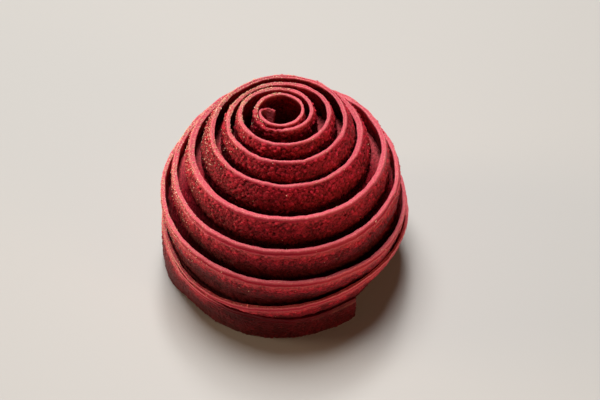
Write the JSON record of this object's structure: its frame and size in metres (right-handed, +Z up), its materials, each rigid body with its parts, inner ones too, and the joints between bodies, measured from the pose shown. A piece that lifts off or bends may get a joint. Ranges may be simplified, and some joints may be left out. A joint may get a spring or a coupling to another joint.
{
  "type": "entremet",
  "caption": "Individual mousse cake in a dome form, wrapped from its open middle down to the plate in one long spiral ribbon with a velvet coating.",
  "frame": {"origin": "middle of the flat base, on the surface the cake stands on", "axes": "+Z up; the loose tail of the ribbon ends at the front, which is towards -Y; +X to the right"},
  "size_m": [0.0776, 0.0774, 0.0627],
  "materials": {
    "velvet_coating": "grainy red velvet spray over the cake, with a smoother and paler ribbon edge"
  },
  "bodies": {
    "root": {"entremet": "velvet_coating"}
  },
  "joints": []
}
